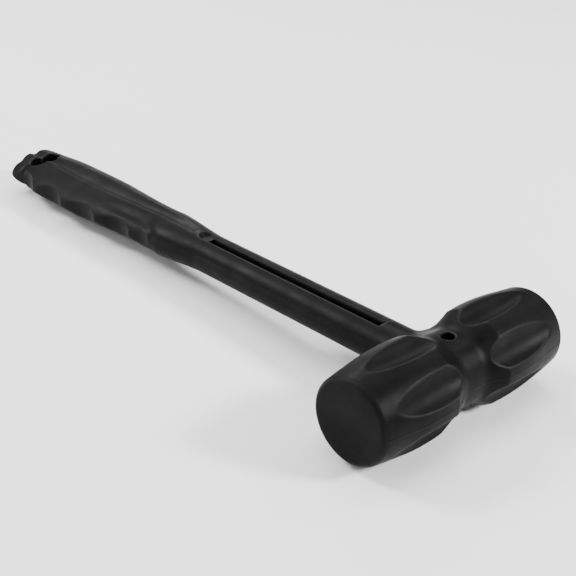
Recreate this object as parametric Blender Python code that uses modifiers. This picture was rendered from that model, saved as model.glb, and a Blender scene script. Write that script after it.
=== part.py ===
"""Dead blow mallet: a one-shot moulded jacket round a welded steel skeleton with loose shot in its head.

Everything is modelled in the mallet's own frame and then stood on the ground as it lies on a bench:
the origin of that frame is the middle of the head, the head's axis is Y, the handle runs along -X,
and the handle's slots and the head's locating holes open along +Z and -Z. Metres throughout.
"""

from math import cos, pi, radians, sin, sqrt

import bmesh
import bpy
from mathutils import Matrix, Vector

GAP = 0.0003                    # room between pieces that touch
MERGE = 0.00001                 # merge distance of every merging modifier

# Head: two crowned barrels with a waist between them.
HEAD_HALF_LENGTH = 0.0556
BARREL_RADIUS = 0.0212          # at the barrel's crown
CROWN_Y = 0.0252                # where the crown is
CROWN_ARC = 0.115               # radius of the crown's long arc
TAPER_Y = 0.0405                # the crown runs into a straight taper here
EDGE_ROUNDING = 0.0018          # rounding of the striking face's edge
SHOULDER_Y = 0.0162             # corner between the barrel and the waist's cone
CONE_FOOT_Y = 0.0090
CONE_FOOT_RADIUS = 0.0175
WAIST_RADIUS = 0.0164
HEAD_STEPS = 66                 # eleven facets to each flute, so its ridges fall inside facets

# Flutes: six scoops round each barrel, cut by long ellipsoids.
FLUTES = 6
FLUTE_FIRST_ANGLE = radians(30)
FLUTE_OFFSET = 0.0283           # ellipsoid centre from the head's axis
FLUTE_Y = 0.0198                # ellipsoid centre along the head
FLUTE_RADIUS = 0.0108
FLUTE_HALF_LENGTH = 0.0517

# Round holes in the waist, where the mould held the canister.
LOCATOR_RADIUS = 0.00325

# Shank and grip: half width (Y) and half height (Z).
SHANK_HALF_WIDTH = 0.01105
SHANK_HALF_HEIGHT = 0.00905
GRIP_START = -0.144             # the shank flares straight from here
GRIP_SHOULDER = -0.174          # to here
GRIP_FLARE = 0.0040
GRIP_DIP_END = -0.184           # a slight neck behind the shoulder
GRIP_DIP = 0.0005
GRIP_BELLY = -0.238             # and on to the belly
GRIP_BELLY_SWELL = 0.0039
GRIP_TAIL_START = -0.262
GRIP_TAIL_LOSS = 0.0026
GRIP_RISE = 0.0012              # how much thicker the grip is than the shank
BUTT_X = -0.2978
BUTT_ROUNDING = 0.0042
SECTION_POINTS = 40

# Neck: fillets between the shank and the head.
NECK_SIDE_START = -0.0317
NECK_SIDE_FILLET = 0.0105
NECK_TOP_START = -0.0159
NECK_TOP_FILLET = 0.005
NECK_TOP_END = -0.0121
NECK_INNER_X = -0.004
HEAD_SIDE_X = -0.025            # what lies past this belongs to the head

# Long slots in the top and bottom of the shank, each in the floor of a shallow channel.
SLOT_FAR_X = -0.1432
SLOT_NEAR_X = -0.0335
SLOT_WIDTH = 0.0037
SLOT_FLOOR = 0.0020             # inside the core rod's bore
CHANNEL_FAR_X = -0.1494
CHANNEL_NEAR_X = -0.0323
CHANNEL_FLOOR = 0.0073
CHANNEL_HALF_WIDTH = 0.0037

# Finger grooves along the -Y side of the grip, between these ridges.
GROOVE_RIDGES = (-0.2690, -0.2422, -0.2148, -0.1888, -0.1700)
GROOVE_DEPTHS = (0.0024, 0.0016, 0.0013, 0.0010)
RIDGE_WIDTH = 0.0030

# Butt: three lobes, the one on the finger side shorter, a waist and a bone-shaped hang hole.
LOBE_NOTCHES = ((-0.2994, 0.0012, 0.0044), (-0.2982, -0.0100, 0.0038))     # x, y, radius
SHORT_LOBE_X = -0.2954
SHORT_LOBE_Y = -0.0095          # it lies past this
BUTT_WAIST_X = -0.2805
BUTT_WAIST_RADIUS = 0.0090
BUTT_WAIST_Y = 0.0244
HANG_HOLE_ENDS = ((-0.2819, -0.0047, 0.0053), (-0.2821, 0.0024, 0.0049))   # x, y, radius
HANG_HOLE_X = -0.2820
HANG_HOLE_NECK = 0.0082

# Steel skeleton.
CANISTER_RADIUS = 0.0120
CANISTER_BORE_RADIUS = 0.0105
CANISTER_HALF_LENGTH = 0.0440
CAP_THICKNESS = 0.0020
CAP_SKIRT = 0.0050
CAP_SKIRT_WALL = 0.0015
SOCKET_RADIUS = 0.0065
SOCKET_END_X = -0.0300
ROD_RADIUS = 0.0040
ROD_START_X = -0.0130
ROD_END_X = -0.2680
PIN_RADIUS = 0.0015
PIN_HALF_LENGTH = 0.0060
PIN_X = -0.0235
COLLAR_RADIUS = 0.0070
COLLAR_THICKNESS = 0.0030
COLLAR_XS = {"anchor_collar_front": -0.158, "anchor_collar_rear": -0.262}

# Loose steel shot, packed in layers of one ball with six round it.
BALL_RADIUS = 0.0033
BALL_PITCH = 2 * BALL_RADIUS + GAP
SHOT_LAYERS = 7

FAR = 0.05                      # how far a cutter reaches past the surface it opens


def clear_scene():
    for obj in list(bpy.data.objects):
        bpy.data.objects.remove(obj, do_unlink=True)
    for name in ("dead_blow_mallet", "cutters"):
        if name in bpy.data.collections:
            bpy.data.collections.remove(bpy.data.collections[name])


def new_collection(name):
    collection = bpy.data.collections.new(name)
    bpy.context.scene.collection.children.link(collection)
    return collection


def ease(value, start, end):
    """0 at start, 1 at end, with level ends."""
    t = min(1.0, max(0.0, (value - start) / (end - start)))
    return t * t * (3 - 2 * t)


def finish_material(name, colour, roughness, metallic):
    material = bpy.data.materials.new(name)
    material.use_nodes = True
    shader = material.node_tree.nodes["Principled BSDF"]
    shader.inputs["Base Color"].default_value = (*colour, 1.0)
    shader.inputs["Roughness"].default_value = roughness
    shader.inputs["Metallic"].default_value = metallic
    return material


def as_object(mesh_builder, name, collection):
    """Turn a filled bmesh into a linked object."""
    mesh = bpy.data.meshes.new(name)
    bmesh.ops.recalc_face_normals(mesh_builder, faces=mesh_builder.faces)
    mesh_builder.to_mesh(mesh)
    mesh_builder.free()
    obj = bpy.data.objects.new(name, mesh)
    collection.objects.link(obj)
    return obj


def make_cutter(obj):
    obj.hide_render = True
    obj.display_type = "WIRE"
    return obj


def axis_rotation(axis):
    """Turns +Z onto the named axis."""
    return Vector((0, 0, 1)).rotation_difference(Vector(axis)).to_matrix().to_4x4()


def cylinder(name, radius, half_length, centre, axis, collection, sides=40):
    bm = bmesh.new()
    place = Matrix.Translation(centre) @ axis_rotation(axis)
    bmesh.ops.create_cone(bm, cap_ends=True, segments=sides, radius1=radius, radius2=radius,
                          depth=2 * half_length, matrix=place)
    return as_object(bm, name, collection)


def box(name, low, high, collection):
    bm = bmesh.new()
    size = Vector(high) - Vector(low)
    centre = (Vector(high) + Vector(low)) / 2
    place = Matrix.Translation(centre) @ Matrix.Diagonal((*size, 1.0))
    bmesh.ops.create_cube(bm, size=1.0, matrix=place)
    return as_object(bm, name, collection)


def turned(name, profile, collection, steps):
    """Screw a profile of (radius, height) points round Z, then lay Z along Y."""
    mesh = bpy.data.meshes.new(name)
    points = [(radius, 0.0, height) for radius, height in profile]
    mesh.from_pydata(points, [(i, i + 1) for i in range(len(points) - 1)], [])
    obj = bpy.data.objects.new(name, mesh)
    collection.objects.link(obj)
    screw = obj.modifiers.new("turn", "SCREW")
    screw.axis = "Z"
    screw.steps = steps
    screw.render_steps = steps
    screw.use_merge_vertices = True
    screw.merge_threshold = MERGE
    screw.use_smooth_shade = True
    obj.rotation_euler = (-pi / 2, 0, 0)
    return obj


def boolean(target, tool, operation="DIFFERENCE"):
    modifier = target.modifiers.new(tool.name, "BOOLEAN")
    modifier.operation = operation
    modifier.solver = "EXACT"
    modifier.object = tool


# ---------------------------------------------------------------- head

def barrel_radius(y):
    """Radius of the crowned barrel at y, before the face's edge is rounded."""
    if y <= TAPER_Y:
        return BARREL_RADIUS - CROWN_ARC + sqrt(CROWN_ARC ** 2 - (y - CROWN_Y) ** 2)
    slope = (TAPER_Y - CROWN_Y) / sqrt(CROWN_ARC ** 2 - (TAPER_Y - CROWN_Y) ** 2)
    return barrel_radius(TAPER_Y) - slope * (y - TAPER_Y)


def waist_radius(y):
    """Radius between the cone's foot and the middle of the head."""
    return WAIST_RADIUS + (CONE_FOOT_RADIUS - WAIST_RADIUS) * (y / CONE_FOOT_Y) ** 2


def half_head_profile():
    """(radius, y) from the centre of the face to the middle of the waist."""
    edge_y = HEAD_HALF_LENGTH - EDGE_ROUNDING
    edge_radius = barrel_radius(edge_y) - EDGE_ROUNDING
    points = [(0.0, HEAD_HALF_LENGTH)]
    for step in range(5):
        turn = step / 4 * pi / 2
        points.append((edge_radius + EDGE_ROUNDING * sin(turn), edge_y + EDGE_ROUNDING * cos(turn)))
    barrel_steps = 9
    for step in range(1, barrel_steps + 1):
        y = edge_y + (SHOULDER_Y - edge_y) * step / barrel_steps
        points.append((barrel_radius(y), y))
    waist_steps = 3
    for step in range(waist_steps + 1):
        y = CONE_FOOT_Y * (1 - step / waist_steps)
        points.append((waist_radius(y), y))
    return points


def make_head_form(cutters):
    """The fluted head on its own; the jacket takes it in by a union."""
    upper = half_head_profile()
    lower = [(radius, -y) for radius, y in reversed(upper[:-1])]
    head = turned("head_form", upper + lower, cutters, HEAD_STEPS)
    for end in (1, -1):
        for index in range(FLUTES):
            angle = FLUTE_FIRST_ANGLE + index * 2 * pi / FLUTES
            centre = (FLUTE_OFFSET * cos(angle), end * FLUTE_Y, FLUTE_OFFSET * sin(angle))
            boolean(head, flute_cutter(f"flute_{'far' if end > 0 else 'near'}_{index}",
                                       centre, angle, cutters))
    return make_cutter(head)


def flute_cutter(name, centre, angle, cutters):
    bm = bmesh.new()
    stretch = Matrix.Diagonal((FLUTE_RADIUS, FLUTE_HALF_LENGTH, FLUTE_RADIUS, 1.0))
    upright = Matrix.Rotation(-pi / 2, 4, "X")
    place = Matrix.Translation(centre) @ Matrix.Rotation(-angle, 4, "Y") @ stretch @ upright
    bmesh.ops.create_uvsphere(bm, u_segments=28, v_segments=16, radius=1.0, matrix=place)
    return make_cutter(as_object(bm, name, cutters))


# ---------------------------------------------------------------- handle

def fillet(x, start, radius, end):
    """How far a concave fillet has risen at x, from nothing at start."""
    reach = min(x, end) - start
    if reach <= 0:
        return 0.0
    return radius - sqrt(max(0.0, radius ** 2 - min(reach, radius) ** 2))


def handle_half_width(x):
    width = SHANK_HALF_WIDTH
    width += GRIP_FLARE * min(1.0, max(0.0, (x - GRIP_START) / (GRIP_SHOULDER - GRIP_START)))
    width -= GRIP_DIP * ease(x, GRIP_SHOULDER, GRIP_DIP_END)
    width += GRIP_BELLY_SWELL * ease(x, GRIP_DIP_END, GRIP_BELLY)
    width -= GRIP_TAIL_LOSS * ease(x, GRIP_TAIL_START, BUTT_X)
    return width + fillet(x, NECK_SIDE_START, NECK_SIDE_FILLET, 0.0)


def handle_half_height(x):
    height = SHANK_HALF_HEIGHT + GRIP_RISE * ease(x, GRIP_START, GRIP_SHOULDER)
    return height + fillet(x, NECK_TOP_START, NECK_TOP_FILLET, NECK_TOP_END)


def handle_section(x, inset):
    """Ellipse across the handle at x, drawn in by inset."""
    half_width = handle_half_width(x) - inset
    half_height = handle_half_height(x) - inset
    turns = [2 * pi * i / SECTION_POINTS for i in range(SECTION_POINTS)]
    return [Vector((x, half_width * cos(turn), half_height * sin(turn))) for turn in turns]


def handle_stations():
    """(x, inset) of each section, from inside the head to the butt."""
    stations = [(NECK_INNER_X, 0.0), (NECK_TOP_END, 0.0), (NECK_TOP_START, 0.0)]
    neck_steps = 6
    for step in range(neck_steps + 1):
        turn = pi / 2 * (1 - step / neck_steps)
        stations.append((NECK_SIDE_START + NECK_SIDE_FILLET * sin(turn), 0.0))
    stations.append((GRIP_START, 0.0))
    grip_steps = 20
    grip_end = BUTT_X + BUTT_ROUNDING
    for step in range(1, grip_steps + 1):
        stations.append((GRIP_START + (grip_end - GRIP_START) * step / grip_steps, 0.0))
    butt_steps = 4
    for step in range(1, butt_steps + 1):
        turn = pi / 2 * step / butt_steps
        x = grip_end - BUTT_ROUNDING * sin(turn)
        stations.append((x, BUTT_ROUNDING * (1 - cos(turn))))
    return stations


def make_handle_form(name, collection):
    bm = bmesh.new()
    rings = []
    for x, inset in handle_stations():
        rings.append([bm.verts.new(point) for point in handle_section(x, inset)])
    for ring, following in zip(rings, rings[1:]):
        for i in range(SECTION_POINTS):
            j = (i + 1) % SECTION_POINTS
            bm.faces.new((ring[i], ring[j], following[j], following[i]))
    bm.faces.new(rings[0])
    bm.faces.new(rings[-1])
    return as_object(bm, name, collection)


# ---------------------------------------------------------------- cutters of the jacket

def slot_cutters(cutters):
    """The long slots and the shallow channels they lie in, above and below."""
    tools = []
    for side, label in ((1, "top"), (-1, "bottom")):
        low, high = sorted((side * SLOT_FLOOR, side * FAR))
        tools.append(box(f"slot_{label}", (SLOT_FAR_X, -SLOT_WIDTH / 2, low),
                         (SLOT_NEAR_X, SLOT_WIDTH / 2, high), cutters))
        low, high = sorted((side * CHANNEL_FLOOR, side * FAR))
        arch_x = CHANNEL_FAR_X + CHANNEL_HALF_WIDTH
        bm = bmesh.new()
        outline = [(CHANNEL_NEAR_X, -CHANNEL_HALF_WIDTH), (CHANNEL_NEAR_X, CHANNEL_HALF_WIDTH)]
        for step in range(9):
            turn = pi / 2 + pi * step / 8
            outline.append((arch_x + CHANNEL_HALF_WIDTH * cos(turn), CHANNEL_HALF_WIDTH * sin(turn)))
        face = bm.faces.new([bm.verts.new((x, y, low)) for x, y in outline])
        raised = bmesh.ops.extrude_face_region(bm, geom=[face])["geom"]
        lifted = [item for item in raised if isinstance(item, bmesh.types.BMVert)]
        bmesh.ops.translate(bm, vec=(0, 0, high - low), verts=lifted)
        tools.append(as_object(bm, f"channel_{label}", cutters))
    return tools


def groove_cutters(cutters):
    """Upright cylinders that leave a scoop between each two ridges."""
    tools = []
    stretches = zip(GROOVE_RIDGES, GROOVE_RIDGES[1:], GROOVE_DEPTHS)
    for index, (butt_ridge, head_ridge, depth) in enumerate(stretches):
        half_chord = (head_ridge - butt_ridge - RIDGE_WIDTH) / 2
        radius = (half_chord ** 2 + depth ** 2) / (2 * depth)
        x = (butt_ridge + head_ridge) / 2
        y = -(handle_half_width(x) - depth + radius)
        tools.append(cylinder(f"finger_groove_{index}", radius, FAR, (x, y, 0), (0, 0, 1),
                              cutters, sides=80))
    return tools


def butt_cutters(cutters):
    """Notches between the lobes, the waist before them and the hang hole."""
    tools = [
        box("short_lobe_end", (SHORT_LOBE_X - FAR, SHORT_LOBE_Y - FAR, -FAR),
            (SHORT_LOBE_X, SHORT_LOBE_Y, FAR), cutters),
        box("hang_hole_neck", (HANG_HOLE_X - HANG_HOLE_NECK / 2, HANG_HOLE_ENDS[0][1], -FAR),
            (HANG_HOLE_X + HANG_HOLE_NECK / 2, HANG_HOLE_ENDS[1][1], FAR), cutters),
    ]
    for index, (x, y, radius) in enumerate(LOBE_NOTCHES):
        tools.append(cylinder(f"lobe_notch_{index}", radius, FAR, (x, y, 0), (0, 0, 1), cutters, 28))
    for index, (x, y, radius) in enumerate(HANG_HOLE_ENDS):
        tools.append(cylinder(f"hang_hole_{index}", radius, FAR, (x, y, 0), (0, 0, 1), cutters, 32))
    for side, label in ((1, "far"), (-1, "near")):
        tools.append(cylinder(f"butt_waist_{label}", BUTT_WAIST_RADIUS, FAR,
                              (BUTT_WAIST_X, side * BUTT_WAIST_Y, 0), (0, 0, 1), cutters, 48))
    return tools


def skeleton_cutters(cutters):
    """The room that the steel skeleton takes inside the jacket."""
    tools = [
        cylinder("canister_room", CANISTER_RADIUS + GAP, CANISTER_HALF_LENGTH + GAP, (0, 0, 0),
                 (0, 1, 0), cutters, sides=48),
        along_x("socket_room", SOCKET_RADIUS + GAP, NECK_INNER_X, SOCKET_END_X - GAP, cutters),
        along_x("rod_room", ROD_RADIUS + GAP, SOCKET_END_X + GAP, ROD_END_X - GAP, cutters, 32),
        cylinder("locator_holes", LOCATOR_RADIUS, FAR, (0, 0, 0), (0, 0, 1), cutters, sides=32),
    ]
    for name, x in COLLAR_XS.items():
        half = COLLAR_THICKNESS / 2 + GAP
        tools.append(along_x(f"{name}_room", COLLAR_RADIUS + GAP, x + half, x - half, cutters))
    return tools


def along_x(name, radius, start, end, collection, sides=40):
    centre = ((start + end) / 2, 0, 0)
    return cylinder(name, radius, abs(end - start) / 2, centre, (1, 0, 0), collection, sides)


def make_jacket(parts, cutters):
    jacket = make_handle_form("jacket", parts)
    boolean(jacket, make_head_form(cutters), "UNION")
    tools = skeleton_cutters(cutters) + slot_cutters(cutters)
    tools += groove_cutters(cutters) + butt_cutters(cutters)
    for tool in tools:
        boolean(jacket, make_cutter(tool))
    return [jacket]


# ---------------------------------------------------------------- steel skeleton

def make_canister_tube(parts):
    top = CANISTER_HALF_LENGTH
    loop = [(CANISTER_RADIUS, top), (CANISTER_RADIUS, -top), (CANISTER_BORE_RADIUS, -top),
            (CANISTER_BORE_RADIUS, top), (CANISTER_RADIUS, top)]
    return [turned("canister_tube", loop, parts, 48)]


def make_canister_caps(parts):
    """Pressed cups that close the tube, skirts inward and flat backs flush with its ends."""
    radius = CANISTER_BORE_RADIUS - GAP
    hollow = radius - CAP_SKIRT_WALL
    back = CANISTER_HALF_LENGTH
    floor = back - CAP_THICKNESS
    rim = back - CAP_SKIRT
    outline = [(0.0, back), (radius, back), (radius, rim), (hollow, rim), (hollow, floor), (0.0, floor)]
    far = turned("canister_cap_far", outline, parts, 40)
    mirrored = [(r, -height) for r, height in reversed(outline)]
    near = turned("canister_cap_near", mirrored, parts, 40)
    return [far, near]


def make_socket(parts, cutters):
    """Stub tube welded on the canister, its end cut to the canister's curve."""
    socket = along_x("handle_socket", SOCKET_RADIUS, NECK_INNER_X, SOCKET_END_X, parts)
    tools = [
        cylinder("saddle", CANISTER_RADIUS + GAP, FAR, (0, 0, 0), (0, 1, 0), cutters, sides=48),
        along_x("socket_bore", ROD_RADIUS + GAP, 0.0, SOCKET_END_X - FAR, cutters, 32),
        cylinder("pin_hole", PIN_RADIUS + GAP, FAR, (PIN_X, 0, 0), (0, 0, 1), cutters, sides=20),
    ]
    for tool in tools:
        boolean(socket, make_cutter(tool))
    return [socket]


def make_core_rod(parts, cutters):
    rod = along_x("core_rod", ROD_RADIUS, ROD_START_X, ROD_END_X, parts, 32)
    hole = cylinder("rod_pin_hole", PIN_RADIUS + GAP, FAR, (PIN_X, 0, 0), (0, 0, 1), cutters, 20)
    boolean(rod, make_cutter(hole))
    return [rod]


def make_socket_pin(parts):
    return [cylinder("socket_pin", PIN_RADIUS, PIN_HALF_LENGTH, (PIN_X, 0, 0), (0, 0, 1), parts, 20)]


def make_anchor_collars(parts, cutters):
    """Collars staked on the rod, which key the moulded handle against pulling off."""
    collars = []
    for name, x in COLLAR_XS.items():
        half = COLLAR_THICKNESS / 2
        collar = along_x(name, COLLAR_RADIUS, x + half, x - half, parts, 36)
        boolean(collar, make_cutter(along_x(f"{name}_bore", ROD_RADIUS + GAP, x + FAR, x - FAR,
                                            cutters, 32)))
        collars.append(collar)
    return collars


def make_shot(parts):
    """Loose steel balls, one with six round it in each layer, every other layer turned."""
    bm = bmesh.new()
    bmesh.ops.create_icosphere(bm, subdivisions=2, radius=BALL_RADIUS)
    mesh = bpy.data.meshes.new("steel_ball")
    bm.to_mesh(mesh)
    bm.free()
    centres = []
    for layer in range(SHOT_LAYERS):
        y = (layer - (SHOT_LAYERS - 1) / 2) * BALL_PITCH
        centres.append((0, y, 0))
        for index in range(6):
            turn = radians(30) * (layer % 2) + index * pi / 3
            centres.append((BALL_PITCH * cos(turn), y, BALL_PITCH * sin(turn)))
    balls = []
    for number, centre in enumerate(centres, start=1):
        ball = bpy.data.objects.new(f"steel_shot_{number:02d}", mesh)
        ball.location = centre
        parts.objects.link(ball)
        balls.append(ball)
    return balls


# ---------------------------------------------------------------- assembly

def dress(objects, material):
    for obj in objects:
        if not obj.data.materials:
            obj.data.materials.append(material)
        if len(obj.data.polygons):
            obj.data.shade_smooth()
            obj.data.set_sharp_from_angle(angle=radians(35))


def lie_down(parts, cutters):
    """Rest the head and the butt on Z = 0, with the middle of the box over the origin."""
    frame = bpy.data.objects.new("mallet_frame", None)
    parts.objects.link(frame)
    for obj in list(parts.objects) + list(cutters.objects):
        if obj is not frame:
            obj.parent = frame
    shape = parts.objects["jacket"].evaluated_get(bpy.context.evaluated_depsgraph_get())
    corners = [vertex.co.copy() for vertex in shape.data.vertices]
    turn = Matrix.Rotation(-resting_tilt(corners), 3, "Y")
    turned_corners = [turn @ corner for corner in corners]
    xs = [corner.x for corner in turned_corners]
    frame.rotation_euler = turn.to_euler()
    frame.location = (-(min(xs) + max(xs)) / 2, 0, -min(corner.z for corner in turned_corners))


def resting_tilt(corners):
    """Angle about Y at which the head and the butt touch the same level, by halving."""
    head = [corner for corner in corners if corner.x > HEAD_SIDE_X]
    butt = [corner for corner in corners if corner.x < GRIP_TAIL_START]
    low, high = 0.0, radians(10)
    for _ in range(40):
        tilt = (low + high) / 2
        turn = Matrix.Rotation(-tilt, 3, "Y")
        if min((turn @ corner).z for corner in head) < min((turn @ corner).z for corner in butt):
            low = tilt
        else:
            high = tilt
    return tilt


def build_mallet():
    clear_scene()
    parts = new_collection("dead_blow_mallet")
    cutters = new_collection("cutters")

    urethane = finish_material("black_urethane", (0.018, 0.018, 0.019), 0.45, 0.0)
    tube_steel = finish_material("tube_steel", (0.45, 0.45, 0.46), 0.40, 1.0)
    black_steel = finish_material("black_steel", (0.06, 0.06, 0.065), 0.50, 1.0)
    shot_steel = finish_material("shot_steel", (0.58, 0.58, 0.60), 0.25, 1.0)

    dress(make_jacket(parts, cutters), urethane)
    dress(make_canister_tube(parts) + make_canister_caps(parts), tube_steel)
    dress(make_socket(parts, cutters) + make_core_rod(parts, cutters), black_steel)
    dress(make_socket_pin(parts) + make_anchor_collars(parts, cutters), black_steel)
    dress(make_shot(parts), shot_steel)
    lie_down(parts, cutters)


build_mallet()
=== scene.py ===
"""Looks of the dead blow mallet: its moulded jacket as one fine surface, materials, studio and camera.

The jacket is modelled as a signed field in the mallet's own frame, in millimetres: the origin is the
middle of the head, Y is the head's axis, the handle runs along -X and the slots open along +Z and -Z.
The field is negative inside. Solids are joined and cut with rounded edges, as a mould's cavity is
milled, and one surface is netted over the field and settled onto it.

The steel pieces inside keep the shapes of the CAD model and only get their materials here.
"""

from math import atan2, cos, pi, radians, sqrt

import bpy
import numpy as np
from mathutils import Matrix, Vector


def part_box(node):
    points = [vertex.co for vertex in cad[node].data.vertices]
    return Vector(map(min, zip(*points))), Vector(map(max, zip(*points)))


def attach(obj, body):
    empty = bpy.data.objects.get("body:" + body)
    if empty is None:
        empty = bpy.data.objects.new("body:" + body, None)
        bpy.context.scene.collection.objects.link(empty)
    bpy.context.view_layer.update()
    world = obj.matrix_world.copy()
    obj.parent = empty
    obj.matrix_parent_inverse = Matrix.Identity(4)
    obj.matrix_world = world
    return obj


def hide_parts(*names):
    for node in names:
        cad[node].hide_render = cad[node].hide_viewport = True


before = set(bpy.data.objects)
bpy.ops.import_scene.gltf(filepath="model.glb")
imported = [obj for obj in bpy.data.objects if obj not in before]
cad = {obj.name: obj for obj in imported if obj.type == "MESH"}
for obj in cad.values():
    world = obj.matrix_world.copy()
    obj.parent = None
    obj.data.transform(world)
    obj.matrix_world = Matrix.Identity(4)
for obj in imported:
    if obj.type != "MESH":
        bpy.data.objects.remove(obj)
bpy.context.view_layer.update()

MM = 0.001                      # the mallet's dimensions below are in millimetres

# Head
HEAD_HALF_LENGTH = 55.6
BARREL_RADIUS = 21.1            # at the barrel's crown
CROWN_Y = 25.2
CROWN_ARC = 115.0               # radius of the crown's long arc
TAPER_Y = 40.5                  # the crown runs into a straight taper here
FACE_ROUNDING = 1.8
CONE_FOOT_Y = 9.0               # a cone joins the waist to each barrel
CONE_FOOT_RADIUS = 17.5
CONE_SLOPE = 0.465
WAIST_RADIUS = 16.4
WAIST_FILLET = 10.0
SHOULDER_ROUNDING = 1.0
FLUTES = 6                      # round each barrel, each the cut of a long ellipsoid
FLUTE_OFFSET = 28.3             # the ellipsoid's centre from the head's axis
FLUTE_Y = 19.8                  # and along it
FLUTE_RADIUS = 10.8
FLUTE_HALF_LENGTH = 51.7
FLUTE_EDGE = 0.7
LOCATOR_RADIUS = 3.05           # locating hole over the middle of the head
LOCATOR_EDGE = 0.35

# Handle
SHANK_HALF_WIDTH = 11.05
SHANK_HALF_HEIGHT = 9.05
GRIP_START = -144.0             # the shank flares straight from here
GRIP_SHOULDER = -174.0          # to here
GRIP_FLARE = 4.0
GRIP_DIP_END = -184.0           # a slight neck behind the shoulder
GRIP_DIP = 0.5
GRIP_BELLY = -238.0             # and on to the belly
GRIP_BELLY_SWELL = 3.9
GRIP_TAIL_START = -262.0
GRIP_TAIL_LOSS = 2.6
GRIP_RISE = 1.2                 # how much thicker the grip is than the shank
BUTT_X = -297.8
BUTT_ROUNDING = 3.4
NECK_SIDE_FILLET = 10.5
NECK_TOP_FILLET = 7.0
NECK_TOP_TO_SIDE = (0.3, 0.9)   # shares of the half width between which the fillet grows
NECK_INNER_X = -9.0             # where the handle's solid ends inside the head
NECK_INNER_ROUNDING = 4.0

# Shank: a shallow channel with leaning walls, and the slot in its floor
CHANNEL_FAR_X = -149.4
CHANNEL_NEAR_X = -32.3
CHANNEL_FLOOR = 7.3             # heights from the handle's middle
CHANNEL_TOP = 8.5
CHANNEL_HALF_WIDTH = 3.7        # at its top
CHANNEL_LEAN = 0.9              # how far its walls lean in, for each unit of depth
CHANNEL_EDGE = 0.25
SLOT_FAR_X = -143.2
SLOT_NEAR_X = -33.5
SLOT_HALF_WIDTH = 1.85
SLOT_FLOOR = 2.0
SLOT_CORNER = 0.4
SLOT_EDGE = 0.35

# Grip: scoops for the fingers on the -Y side, between these ridges, with their depths
RIDGES = (-292.5, -269.0, -242.2, -214.8, -188.8, -170.0)
SCOOP_DEPTHS = (3.4, 3.4, 2.6, 2.2, 1.6)
SCOOP_LEAN = 1.5                # over 1, the deepest place lies nearer to the head
RIDGE_ROUNDING = 0.8
FINGER_SIDE_POWER = 1.55        # under 2, a section with flatter slopes and a tighter edge
FINGER_SIDE_SWELL = 1.09
FINGER_SIDE_FADE = (-187.0, -166.0)             # where that section turns back into an ellipse
SCOOP_LINE = 1.04               # the scoops' depths are measured from this share of the half width
SCOOP_OFF = -5.0                # depth where there is no scoop, which keeps the cut clear of the grip

# Grip: a groove round the finger side, in plan, and the dished middle of its top
GROOVE_XS = (-300.0, -284.0, -264.0, -248.0, -236.0, -226.0, -210.0, -198.0, -187.0)
GROOVE_YS = (-9.8, -11.0, -12.2, -13.4, -13.6, -12.9, -11.0, -9.8, -9.3)
GROOVE_END = (-187.0, -16.5, 15.3, 7.2)         # the ellipse that it ends in: middle, half axes
GROOVE_DEPTH = 0.7
GROOVE_DEEPENS = (-218.0, -196.0)
GROOVE_WIDTH = 2.2
DISH_XS = (-300.0, -273.0, -257.0, -236.0, -218.0, -197.0, -173.0, -154.0)
DISH_HALF_WIDTHS = (3.6, 4.0, 5.6, 6.5, 5.9, 4.7, 3.6, 3.3)
DISH_DEPTHS = (1.5, 1.4, 1.3, 1.3, 1.2, 1.0, 0.65, 0.1)
DISH_EDGE = 1.4

# Butt: round lobes and the round ends of the hang hole, each (x, y, radius)
LOBES = ((-288.4, 6.8, 9.0), (-288.8, -4.2, 7.9), (-289.4, -13.0, 6.0))
LOBE_ROOT_X = -284.0
LOBE_FILLET = 0.8
HANG_HOLE_ENDS = ((-281.9, -4.7, 5.3), (-282.1, 2.4, 4.9))
HANG_HOLE_X = -282.0
HANG_HOLE_NECK = 4.1            # half the width of the neck between the ends
HANG_HOLE_FILLET = 1.0
HANG_HOLE_EDGE = 0.7

# The mould's parting line: a low ridge level with the middle of the mallet, on the head and shank
PARTING_HEIGHT = 0.09
PARTING_WIDTH = 0.28
PARTING_FADE_AT_FACE = (0.5, 2.0)               # distances from the striking face
PARTING_FADE_AT_GRIP = 20.0

# Room for the steel skeleton, as in the CAD model
GAP = 0.3
CANISTER_RADIUS = 12.0
CANISTER_HALF_LENGTH = 44.0
SOCKET_RADIUS = 6.5
SOCKET_END_X = -30.0
ROD_RADIUS = 4.0
ROD_END_X = -268.0
COLLAR_RADIUS = 7.0
COLLAR_XS = (-158.0, -262.0)
COLLAR_HALF_THICKNESS = 1.5

# Net
PITCH = 0.69                    # side of its cells
SHANK_PITCH = 2.4               # their length along the plain shank
SHARP_FROM = 50                 # degrees between two facets
PARTING_PITCH = 0.2             # their height near the parting line
PARTING_REACH = 0.6
NET_X = (-300.5, -140.0, -40.0, 24.0)           # butt, start and end of the plain shank, head
NET_Y = 59.0
NET_Z = 23.0
STRETCHES = ((-400, -34, 21.5, 12), (-34, 60, 60, 24))      # from x, to x, reach in y, reach in z


# ------------------------------------------------------------ field tools

def both(a, b, rounding, turn=90):
    """What is inside a and b, with their shared edge rounded to that radius.

    turn is the angle in degrees between the two surfaces' outward directions at the edge.
    """
    cosine = cos(radians(turn))
    past_a = a + rounding
    past_b = b + rounding
    square = past_a ** 2 + past_b ** 2 - 2 * past_a * past_b * cosine
    corner = np.sqrt(np.maximum(square, 0) / (1 - cosine ** 2)) - rounding
    on_corner = (past_a > cosine * past_b) & (past_b > cosine * past_a)
    return np.where(on_corner, corner, np.maximum(a, b))


def either(a, b, fillet, turn=90):
    """What is inside a or b, with a fillet of that radius in their shared edge."""
    return -both(-a, -b, fillet, turn)


def cut(a, b, rounding, turn=90):
    """What is inside a and outside b, with their shared edge rounded."""
    return both(a, -b, rounding, turn)


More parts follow.
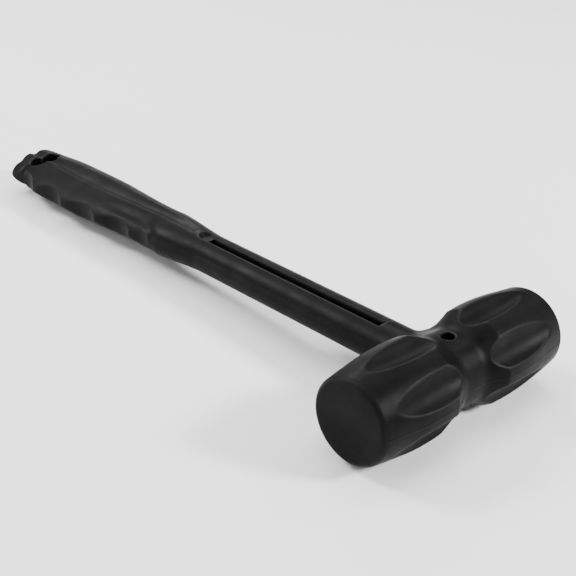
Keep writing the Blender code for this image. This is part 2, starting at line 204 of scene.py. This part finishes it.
def ease(value, start, end):
    """0 before start, 1 past end and a smooth step between."""
    t = np.clip((value - start) / (end - start), 0, 1)
    return t * t * (3 - 2 * t)


def ellipse(a, b, half_a, half_b, power=2.0):
    """Near enough the distance to an ellipse, or to one of another power."""
    share_a = np.maximum(np.abs(a / half_a), 1e-6)
    share_b = np.maximum(np.abs(b / half_b), 1e-6)
    reach = (share_a ** power + share_b ** power) ** (1 / power)
    slope = np.hypot(share_a ** (power - 1) / half_a, share_b ** (power - 1) / half_b)
    return (reach - 1) * reach ** (power - 1) / np.maximum(slope, 1e-4)


# ------------------------------------------------------------ head

def barrel_radius(along):
    crown = BARREL_RADIUS - CROWN_ARC
    run = TAPER_Y - CROWN_Y
    arc = crown + np.sqrt(CROWN_ARC ** 2 - (np.minimum(along, TAPER_Y) - CROWN_Y) ** 2)
    slope = run / sqrt(CROWN_ARC ** 2 - run ** 2)
    return arc - slope * np.maximum(along - TAPER_Y, 0)


def head_field(x, y, z):
    radius = np.hypot(x, z)
    along = np.abs(y)
    cone_radius = CONE_FOOT_RADIUS + CONE_SLOPE * (along - CONE_FOOT_Y)
    cone = (radius - cone_radius) / sqrt(1 + CONE_SLOPE ** 2)
    waist = either(cone, radius - WAIST_RADIUS, WAIST_FILLET, turn=25)
    barrel = both(radius - barrel_radius(along), along - HEAD_HALF_LENGTH, FACE_ROUNDING)
    sector = np.mod(np.arctan2(z, x), 2 * pi / FLUTES) - pi / FLUTES
    outward = radius * np.cos(sector) - FLUTE_OFFSET
    across = radius * np.sin(sector)
    lengthwise = along - FLUTE_Y
    reach = np.sqrt((outward ** 2 + across ** 2) / FLUTE_RADIUS ** 2
                    + (lengthwise / FLUTE_HALF_LENGTH) ** 2)
    slope = np.sqrt((outward ** 2 + across ** 2) / FLUTE_RADIUS ** 4
                    + (lengthwise / FLUTE_HALF_LENGTH ** 2) ** 2)
    flute = reach * (reach - 1) / np.maximum(slope, 1e-4)
    return both(cut(barrel, flute, FLUTE_EDGE, turn=60), waist, SHOULDER_ROUNDING, turn=30)


# ------------------------------------------------------------ handle

def half_width(x):
    width = SHANK_HALF_WIDTH + GRIP_FLARE * np.clip((x - GRIP_START) / (GRIP_SHOULDER - GRIP_START), 0, 1)
    width = width - GRIP_DIP * ease(x, GRIP_SHOULDER, GRIP_DIP_END)
    width = width + GRIP_BELLY_SWELL * ease(x, GRIP_DIP_END, GRIP_BELLY)
    return width - GRIP_TAIL_LOSS * ease(x, GRIP_TAIL_START, BUTT_X)


def half_height(x):
    rise = GRIP_RISE * ease(x, GRIP_START, GRIP_SHOULDER)
    return SHANK_HALF_HEIGHT + rise * (1 - ease(x, GRIP_TAIL_START, BUTT_X))


def butt_outline(x, y):
    """Plan of the butt: a straight root and three round lobes."""
    outline = LOBE_ROOT_X - x
    for lobe_x, lobe_y, lobe_radius in LOBES:
        outline = either(outline, np.hypot(x - lobe_x, y - lobe_y) - lobe_radius, LOBE_FILLET)
    return outline


def hang_hole(x, y):
    """Two round ends joined by a narrower neck."""
    (near_x, near_y, near_radius), (far_x, far_y, far_radius) = HANG_HOLE_ENDS
    near_end = np.hypot(x - near_x, y - near_y) - near_radius
    far_end = np.hypot(x - far_x, y - far_y) - far_radius
    neck = np.maximum(np.abs(x - HANG_HOLE_X) - HANG_HOLE_NECK, np.maximum(near_y - y, y - far_y))
    return either(np.minimum(near_end, far_end), neck, HANG_HOLE_FILLET, turn=30)


def scoops(x, y):
    """Upright cuts along the finger side, one between each two ridges."""
    depth = np.full_like(x, SCOOP_OFF)
    for butt_ridge, head_ridge, deepest in zip(RIDGES, RIDGES[1:], SCOOP_DEPTHS):
        share = np.clip((x - butt_ridge) / (head_ridge - butt_ridge), 0, 1) ** SCOOP_LEAN
        here = (x >= butt_ridge) & (x <= head_ridge)
        depth = np.where(here, 4 * deepest * share * (1 - share), depth)
    return y + half_width(x) * SCOOP_LINE - depth


def smooth_through(x, xs, values):
    """Smooth curve through the given places, each stretch eased into the next."""
    slopes = np.gradient(np.array(values), np.array(xs))
    place = np.clip(np.searchsorted(xs, x) - 1, 0, len(xs) - 2)
    start = np.take(xs, place)
    run = np.take(xs, place + 1) - start
    t = np.clip((x - start) / run, 0, 1)
    low, high = np.take(values, place), np.take(values, place + 1)
    lean_low, lean_high = np.take(slopes, place) * run, np.take(slopes, place + 1) * run
    return (low * (1 + 2 * t) * (1 - t) ** 2 + high * t * t * (3 - 2 * t)
            + lean_low * t * (1 - t) ** 2 + lean_high * t * t * (t - 1))


def channel(x, y, z):
    """Shallow channel with a round end, its walls leaning in towards its floor."""
    round_x = CHANNEL_FAR_X + CHANNEL_HALF_WIDTH
    reach = CHANNEL_HALF_WIDTH - CHANNEL_LEAN * (CHANNEL_TOP - np.abs(z))
    walls = (np.hypot(np.minimum(x - round_x, 0), y) - reach) / sqrt(1 + CHANNEL_LEAN ** 2)
    return np.maximum(np.maximum(walls, x - CHANNEL_NEAR_X), CHANNEL_FLOOR - np.abs(z))


def slot(x, y, z):
    """Slot that goes from the channel's floor into the room of the rod."""
    ends = np.abs(x - (SLOT_FAR_X + SLOT_NEAR_X) / 2) - (SLOT_NEAR_X - SLOT_FAR_X) / 2
    outline = both(np.abs(y) - SLOT_HALF_WIDTH, ends, SLOT_CORNER)
    return np.maximum(outline, SLOT_FLOOR - np.abs(z))


def groove(x, y):
    """0 away from the groove round the finger side, 1 in its middle."""
    end_x, end_y, half_x, half_y = GROOVE_END
    along_grip = y - smooth_through(x, GROOVE_XS, GROOVE_YS)
    round_end = ellipse(x - end_x, y - end_y, half_x, half_y)
    away = np.where(x < end_x, along_grip, round_end)
    return np.exp(-(away / GROOVE_WIDTH) ** 2)


def dish(x, y, z):
    """The hollow along the middle of the grip's top, which runs out just short of the channel."""
    half = smooth_through(x, DISH_XS, DISH_HALF_WIDTHS)
    depth = smooth_through(x, DISH_XS, DISH_DEPTHS)
    radius = (half ** 2 + depth ** 2) / (2 * depth)
    edge_z = half_height(x) * np.sqrt(1 - (half / half_width(x)) ** 2)
    hollow = np.hypot(y, np.abs(z) - edge_z + depth - radius) - radius
    return np.maximum(hollow, x - DISH_XS[-1])


def handle_field(x, y, z):
    on_grip = (1 - ease(x, *FINGER_SIDE_FADE)) * (y < 0)
    power = 2 - (2 - FINGER_SIDE_POWER) * on_grip
    width = half_width(x) * (1 + (FINGER_SIDE_SWELL - 1) * on_grip)
    section = ellipse(y, z, width, half_height(x), power)
    section = section + GROOVE_DEPTH * groove(x, y) * ease(x, *GROOVE_DEEPENS)
    section = both(section, x - NECK_INNER_X, NECK_INNER_ROUNDING)
    body = both(section, butt_outline(x, y), BUTT_ROUNDING)
    body = cut(body, scoops(x, y), RIDGE_ROUNDING, turn=40)
    return cut(body, dish(x, y, z), DISH_EDGE, turn=30)


def jacket_field(x, y, z):
    """The whole moulding without its inner room."""
    sideways = ease(np.abs(y) / SHANK_HALF_WIDTH, *NECK_TOP_TO_SIDE)
    neck_fillet = NECK_TOP_FILLET + (NECK_SIDE_FILLET - NECK_TOP_FILLET) * sideways
    body = either(head_field(x, y, z), handle_field(x, y, z), neck_fillet, turn=75)
    body = cut(body, channel(x, y, z), CHANNEL_EDGE)
    body = cut(body, slot(x, y, z), SLOT_EDGE)
    locator = np.maximum(np.hypot(x, y) - LOCATOR_RADIUS, CANISTER_RADIUS - np.abs(z))
    body = cut(body, locator, LOCATOR_EDGE)
    body = cut(body, hang_hole(x, y), HANG_HOLE_EDGE)
    off_faces = ease(HEAD_HALF_LENGTH - np.abs(y), *PARTING_FADE_AT_FACE)
    off_grip = ease(x, GRIP_START, GRIP_START + PARTING_FADE_AT_GRIP)
    ridge = PARTING_HEIGHT * np.exp(-(z / PARTING_WIDTH) ** 2)
    return body - ridge * off_faces * off_grip


# ------------------------------------------------------------ netting the surface

def lines(*stretches):
    """Grid lines from (start, end, spacing) stretches laid end to end."""
    parts = []
    for start, end, spacing in stretches:
        count = max(1, round((end - start) / spacing))
        parts.append(np.linspace(start, end, count, endpoint=False))
    return np.append(np.concatenate(parts), stretches[-1][1])


def sample(xs, ys, zs):
    """The field at every grid point.

    What is far from the mallet is taken as outside, so each stretch of its length is sampled only
    as far out as it reaches, and a few slices at a time to save memory.
    """
    outside = 9.0
    slices = 16
    values = np.full((len(xs), len(ys), len(zs)), outside, np.float32)
    for first, last, reach_y, reach_z in STRETCHES:
        pick_x = np.flatnonzero((xs >= first) & (xs < last))
        pick_y = np.flatnonzero(np.abs(ys) < reach_y)
        pick_z = np.flatnonzero(np.abs(zs) < reach_z)
        for start in range(0, len(pick_x), slices):
            part = pick_x[start:start + slices]
            grid = np.meshgrid(xs[part], ys[pick_y], zs[pick_z], indexing="ij")
            values[np.ix_(part, pick_y, pick_z)] = jacket_field(*grid)
    return values


def net(values, xs, ys, zs):
    """Surface net: a point in every cell that the surface crosses, a quad round every crossed edge."""
    inside = values < 0
    cells = np.array(values.shape) - 1
    axes = (xs, ys, zs)
    owners, quads = [], []
    total = np.zeros((3, int(np.prod(cells))))
    hits = np.zeros(int(np.prod(cells)))
    for axis in range(3):
        lower = [slice(None)] * 3
        upper = [slice(None)] * 3
        lower[axis] = slice(0, -1)
        upper[axis] = slice(1, None)
        crossed = np.argwhere(inside[tuple(lower)] != inside[tuple(upper)])
        side_a, side_b = (axis + 1) % 3, (axis + 2) % 3
        # An edge on the grid's border has no ring of cells round it
        keep = np.all([(crossed[:, s] > 0) & (crossed[:, s] < cells[s]) for s in (side_a, side_b)], 0)
        crossed = crossed[keep]
        ahead = crossed.copy()
        ahead[:, axis] += 1
        start = values[tuple(crossed.T)]
        finish = values[tuple(ahead.T)]
        share = start / (start - finish)
        place = np.stack([axes[k][crossed[:, k]] for k in range(3)], 1)
        place[:, axis] += share * (axes[axis][ahead[:, axis]] - place[:, axis])
        ring = []
        for step_a, step_b in ((-1, -1), (0, -1), (0, 0), (-1, 0)):
            cell = crossed.copy()
            cell[:, side_a] += step_a
            cell[:, side_b] += step_b
            flat = np.ravel_multi_index(tuple(cell.T), tuple(cells))
            ring.append(flat)
            hits += np.bincount(flat, minlength=len(hits))
            for k in range(3):
                total[k] += np.bincount(flat, place[:, k], len(hits))
        ring = np.stack(ring, 1)
        outward = start < 0
        ring[~outward] = ring[~outward][:, ::-1]
        quads.append(ring)
    quads = np.concatenate(quads)
    used = np.flatnonzero(hits)
    index = np.full(len(hits), -1)
    index[used] = np.arange(len(used))
    return (total[:, used] / hits[used]).T, index[quads]


def gradient(field, points, step=0.02):
    """The field's slope at each point."""
    slope = np.empty_like(points)
    for axis in range(3):
        shift = np.zeros(3)
        shift[axis] = step
        slope[:, axis] = (field(*(points + shift).T) - field(*(points - shift).T)) / (2 * step)
    return slope


def settle(field, points, rounds=3):
    """Move points along the field's slope onto its surface."""
    longest_move = 0.5
    for _ in range(rounds):
        slope = gradient(field, points)
        steepness = np.maximum((slope ** 2).sum(1), 0.05)
        move = -(field(*points.T) / steepness)[:, None] * slope
        length = np.linalg.norm(move, axis=1, keepdims=True)
        points = points + move * np.minimum(1, longest_move / np.maximum(length, 1e-9))
    return points


def relax(field, points, quads, rounds=4):
    """Even the net out along the surface."""
    ends_a = quads.ravel()
    ends_b = np.roll(quads, -1, 1).ravel()
    count = np.bincount(ends_a, minlength=len(points)) + np.bincount(ends_b, minlength=len(points))
    for _ in range(rounds):
        mean = np.empty_like(points)
        for k in range(3):
            mean[:, k] = (np.bincount(ends_a, points[ends_b, k], len(points))
                          + np.bincount(ends_b, points[ends_a, k], len(points))) / count
        normal = gradient(field, points)
        normal /= np.maximum(np.linalg.norm(normal, axis=1, keepdims=True), 1e-9)
        move = mean - points
        move -= (move * normal).sum(1, keepdims=True) * normal
        points = settle(field, points + 0.5 * move, 1)
    return settle(field, points, 2)


def jacket_surface():
    butt, shank_start, shank_end, head = NET_X
    xs = lines((butt, shank_start, PITCH), (shank_start, shank_end, SHANK_PITCH),
               (shank_end, head, PITCH))
    ys = lines((-NET_Y, NET_Y, PITCH))
    zs = lines((-NET_Z, -PARTING_REACH, PITCH), (-PARTING_REACH, PARTING_REACH, PARTING_PITCH),
               (PARTING_REACH, NET_Z, PITCH))
    points, quads = net(sample(xs, ys, zs), xs, ys, zs)
    points = settle(jacket_field, points)
    return relax(jacket_field, points, quads), quads


# ------------------------------------------------------------ frame of the mallet

def middle(node):
    low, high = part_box(node)
    return (low + high) / 2


def mallet_frame():
    """Places the mallet's own frame, in metres: head's middle as origin, handle along -X."""
    head = middle("canister_tube")
    toward_head = head - middle("core_rod")
    tilt = atan2(toward_head.z, toward_head.x)
    return Matrix.Translation(head) @ Matrix.Rotation(-tilt, 4, "Y")


PLACE = mallet_frame()


def mesh_object(name, points, faces):
    mesh = bpy.data.meshes.new(name)
    mesh.from_pydata(points.tolist(), [], faces.tolist())
    mesh.update()
    obj = bpy.data.objects.new(name, mesh)
    bpy.context.scene.collection.objects.link(obj)
    return obj


def room_cutter(name, start, end, radius, sides=64):
    """Cylinder between two points of the mallet's frame, in millimetres."""
    start = PLACE @ (Vector(start) * MM)
    end = PLACE @ (Vector(end) * MM)
    bpy.ops.mesh.primitive_cylinder_add(vertices=sides, radius=radius * MM, depth=(end - start).length)
    cutter = bpy.context.object
    cutter.name = name
    cutter.matrix_world = (Matrix.Translation((start + end) / 2)
                           @ (end - start).to_track_quat("Z", "Y").to_matrix().to_4x4())
    return cutter


def hollow_out(jacket):
    """Cut the room of the canister, socket, rod and collars."""
    canister_end = CANISTER_HALF_LENGTH + GAP
    overlap = 5                 # the rod's room starts inside the socket's
    rooms = [
        ("canister_room", (0, -canister_end, 0), (0, canister_end, 0), CANISTER_RADIUS),
        ("socket_room", (0, 0, 0), (SOCKET_END_X - GAP, 0, 0), SOCKET_RADIUS),
        ("rod_room", (SOCKET_END_X + overlap, 0, 0), (ROD_END_X - GAP, 0, 0), ROD_RADIUS),
    ]
    for x in COLLAR_XS:
        half = COLLAR_HALF_THICKNESS + GAP
        rooms.append((f"collar_room_{-x:.0f}", (x - half, 0, 0), (x + half, 0, 0), COLLAR_RADIUS))
    cutters = [room_cutter(name, start, end, radius + GAP) for name, start, end, radius in rooms]
    for cutter in cutters:
        modifier = jacket.modifiers.new(cutter.name, "BOOLEAN")
        modifier.operation = "DIFFERENCE"
        modifier.solver = "MANIFOLD"
        modifier.object = cutter
    bpy.context.view_layer.update()
    carved = bpy.data.meshes.new_from_object(jacket.evaluated_get(bpy.context.evaluated_depsgraph_get()))
    jacket.modifiers.clear()
    jacket.data = carved
    for cutter in cutters:
        bpy.data.objects.remove(cutter, do_unlink=True)


def make_jacket():
    """The moulding: its surface in the world's metres, hollowed and smooth shaded."""
    points, quads = jacket_surface()
    rotation = np.array(PLACE.to_3x3())
    world = points * MM @ rotation.T + np.array(PLACE.translation)
    jacket = mesh_object("moulded_jacket", world, quads)
    hollow_out(jacket)
    jacket.data.shade_smooth()
    jacket.data.set_sharp_from_angle(angle=radians(SHARP_FROM))
    return jacket


# ------------------------------------------------------------ materials

URETHANE_COLOUR = (0.0015, 0.0015, 0.0016)
DUSTY_COLOUR = (0.0042, 0.0042, 0.0041)
# Base colour of the painted highlight along convex edges, and the pointiness over which it fades in
EDGE_HIGHLIGHT_COLOUR = (0.019, 0.019, 0.019)
EDGE_HIGHLIGHT_FROM_TO = (0.512, 0.56)      # pointiness of the convex edges that get the painted highlight
URETHANE_ROUGHNESS = (0.40, 0.50)
URETHANE_SPECULAR = 0.056
STEEL_ROUGHNESS_SPREAD = 0.07
FLOOR_COLOURS = ((0.83, 0.83, 0.83), (0.87, 0.87, 0.87))
FLOOR_ROUGHNESS = 0.9
FLOOR_SIZE = 20
FLOOR_HEIGHT = -0.0005              # just under the mallet, so that the two don't share a plane


def nodes_of(name):
    """A new material with its nodes, links and Principled shader."""
    material = bpy.data.materials.new(name)
    material.use_nodes = True
    tree = material.node_tree
    return material, tree.nodes, tree.links, tree.nodes["Principled BSDF"]


def noise(nodes, links, scale, detail=2.0, stretch=(1, 1, 1)):
    """Noise over the object's own metres, stretched along its axes."""
    place = nodes.new("ShaderNodeTexCoord")
    spread = nodes.new("ShaderNodeMapping")
    spread.inputs["Scale"].default_value = stretch
    texture = nodes.new("ShaderNodeTexNoise")
    texture.inputs["Scale"].default_value = scale
    texture.inputs["Detail"].default_value = detail
    links.new(place.outputs["Object"], spread.inputs["Vector"])
    links.new(spread.outputs["Vector"], texture.inputs["Vector"])
    return texture.outputs["Fac"]


def ramp(nodes, links, source, start, end, low, high):
    """Grey value that goes from low to high as the source goes from start to end."""
    span = nodes.new("ShaderNodeMapRange")
    span.inputs["From Min"].default_value = start
    span.inputs["From Max"].default_value = end
    span.inputs["To Min"].default_value = low
    span.inputs["To Max"].default_value = high
    links.new(source, span.inputs["Value"])
    return span.outputs["Result"]


def blend(nodes, links, share, first, second):
    """Mix of two colours, each given as numbers or as another node's output."""
    mix = nodes.new("ShaderNodeMix")
    mix.data_type = "RGBA"
    for socket, colour in (("A", first), ("B", second)):
        if isinstance(colour, tuple):
            mix.inputs[socket].default_value = (*colour, 1)
        else:
            links.new(colour, mix.inputs[socket])
    links.new(share, mix.inputs["Factor"])
    return mix.outputs["Result"]


def bump(nodes, links, height, distance, strength, under=None):
    """Relief from a height, distance deep in metres, over the relief given as under."""
    relief = nodes.new("ShaderNodeBump")
    relief.inputs["Distance"].default_value = distance
    relief.inputs["Strength"].default_value = strength
    links.new(height, relief.inputs["Height"])
    if under:
        links.new(under, relief.inputs["Normal"])
    return relief.outputs["Normal"]


def urethane_material():
    """Moulded black urethane: fine grain, patchy sheen, a breath of dust, soft scuffs, and a painted
    highlight that lightens the convex edges.
    """
    material, nodes, links, shader = nodes_of("black_urethane")
    dust = ramp(nodes, links, noise(nodes, links, 70, 9), 0.42, 0.72, 0, 1)
    plain = blend(nodes, links, dust, URETHANE_COLOUR, DUSTY_COLOUR)
    # Painted highlight: the base colour is lightened along convex edges, by their pointiness
    pointed = nodes.new("ShaderNodeNewGeometry").outputs["Pointiness"]
    painted_edge_highlight = ramp(nodes, links, pointed, *EDGE_HIGHLIGHT_FROM_TO, 0, 1)
    links.new(blend(nodes, links, painted_edge_highlight, plain, EDGE_HIGHLIGHT_COLOUR), shader.inputs["Base Color"])
    sheen = ramp(nodes, links, noise(nodes, links, 90, 5), 0.35, 0.65, *URETHANE_ROUGHNESS)
    links.new(sheen, shader.inputs["Roughness"])
    shader.inputs["Specular IOR Level"].default_value = URETHANE_SPECULAR
    waves = bump(nodes, links, noise(nodes, links, 140, 1), 0.0006, 0.10)
    scuffs = ramp(nodes, links, noise(nodes, links, 420, 2, (0.12, 1.0, 1.0)), 0.62, 0.70, 0, 1)
    scuffed = bump(nodes, links, scuffs, 0.00003, 0.6, waves)
    grained = bump(nodes, links, noise(nodes, links, 3200, 2), 0.00006, 0.5, scuffed)
    links.new(grained, shader.inputs["Normal"])
    return material


def steel_material(name, dark, light, roughness, brushed=(1, 1, 1)):
    """Steel with a drawn or turned grain and slightly uneven colour."""
    material, nodes, links, shader = nodes_of(name)
    uneven = ramp(nodes, links, noise(nodes, links, 120, 4), 0.35, 0.65, 0, 1)
    links.new(blend(nodes, links, uneven, dark, light), shader.inputs["Base Color"])
    shader.inputs["Metallic"].default_value = 1.0
    grain = noise(nodes, links, 900, 3, brushed)
    spread = (roughness - STEEL_ROUGHNESS_SPREAD, roughness + STEEL_ROUGHNESS_SPREAD)
    links.new(ramp(nodes, links, grain, 0.3, 0.7, *spread), shader.inputs["Roughness"])
    links.new(bump(nodes, links, grain, 0.00005, 0.3), shader.inputs["Normal"])
    return material


def give(objects, material):
    for obj in objects:
        obj.data.materials.clear()
        obj.data.materials.append(material)


# ------------------------------------------------------------ studio

# Camera, in the mallet's frame: its place in millimetres, and its right and up directions
CAMERA_PLACE = (235.8, -320.6, 238.2)
CAMERA_RIGHT = (0.69228, 0.72123, 0.02380)
CAMERA_UP = (-0.34552, 0.30233, 0.88838)
CAMERA_LENS = 71.74
CAMERA_SENSOR = 36

WORLD_STRENGTH = 0.28
LIGHTS = (                      # name, place, target and size in metres, power in watts
    ("key", (-0.85, -0.5, 0.9), (0, 0, 0), 0.45, 21),
    ("front", (-0.05, -1.0, 0.78), (0, 0, 0), 0.3, 3),
    ("back", (0.95, 0.55, 0.66), (0.1, 0, 0), 0.25, 27),
    ("behind", (0.1, 1.0, 1.0), (0.1, 0, 0), 0.5, 4),
    ("rim", (-0.95, 0.75, 0.85), (0, 0, 0), 0.35, 7.5),
    ("grip", (-1.2, 0.2, 0.82), (0, 0, 0), 0.5, 2),
    ("low", (-0.8, -0.98, 0.14), (0, 0, 0.02), 0.5, 6),
    ("top", (-0.2, 0.2, 1.7), (0, 0, 0), 1.6, 26),
)


def make_camera():
    right = Vector(CAMERA_RIGHT)
    up = Vector(CAMERA_UP)
    turn = Matrix((right, up, right.cross(up))).transposed().to_4x4()
    data = bpy.data.cameras.new("camera")
    data.lens = CAMERA_LENS
    data.sensor_width = CAMERA_SENSOR
    camera = bpy.data.objects.new("camera", data)
    bpy.context.scene.collection.objects.link(camera)
    camera.matrix_world = PLACE @ Matrix.Translation(Vector(CAMERA_PLACE) * MM) @ turn
    bpy.context.scene.camera = camera


def make_floor():
    bpy.ops.mesh.primitive_plane_add(size=FLOOR_SIZE, location=(0, 0, FLOOR_HEIGHT))
    floor = bpy.context.object
    floor.name = "studio_floor"
    material, nodes, links, shader = nodes_of("studio_floor")
    cloudy = ramp(nodes, links, noise(nodes, links, 3, 2), 0.3, 0.7, 0, 1)
    links.new(blend(nodes, links, cloudy, *FLOOR_COLOURS), shader.inputs["Base Color"])
    shader.inputs["Roughness"].default_value = FLOOR_ROUGHNESS
    give([floor], material)


def area_light(name, place, target, size, power):
    data = bpy.data.lights.new(name, "AREA")
    data.shape = "DISK"
    data.size = size
    data.energy = power
    light = bpy.data.objects.new(name, data)
    bpy.context.scene.collection.objects.link(light)
    light.location = place
    light.rotation_euler = (Vector(target) - Vector(place)).to_track_quat("-Z", "Y").to_euler()


def make_lights():
    world = bpy.data.worlds.new("studio_world")
    world.use_nodes = True
    background = world.node_tree.nodes["Background"]
    background.inputs["Color"].default_value = (1, 1, 1, 1)
    background.inputs["Strength"].default_value = WORLD_STRENGTH
    bpy.context.scene.world = world
    for light in LIGHTS:
        area_light(*light)


# ------------------------------------------------------------ the mallet

jacket = make_jacket()
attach(jacket, "mallet")
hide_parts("jacket")
give([jacket], urethane_material())

canister_parts = ("canister_tube", "canister_cap_far", "canister_cap_near")
handle_parts = ("handle_socket", "socket_pin", "core_rod", "anchor_collar_front", "anchor_collar_rear")
tube_steel = steel_material("tube_steel", (0.36, 0.36, 0.37), (0.44, 0.44, 0.45), 0.36, (1, 0.04, 1))
black_steel = steel_material("black_steel", (0.04, 0.04, 0.043), (0.06, 0.06, 0.062), 0.5)
shot_steel = steel_material("shot_steel", (0.54, 0.54, 0.56), (0.62, 0.62, 0.64), 0.25)
give([cad[name] for name in canister_parts], tube_steel)
give([cad[name] for name in handle_parts], black_steel)
give([cad[name] for name in cad if name.startswith("steel_shot")], shot_steel)

make_floor()
make_lights()
make_camera()
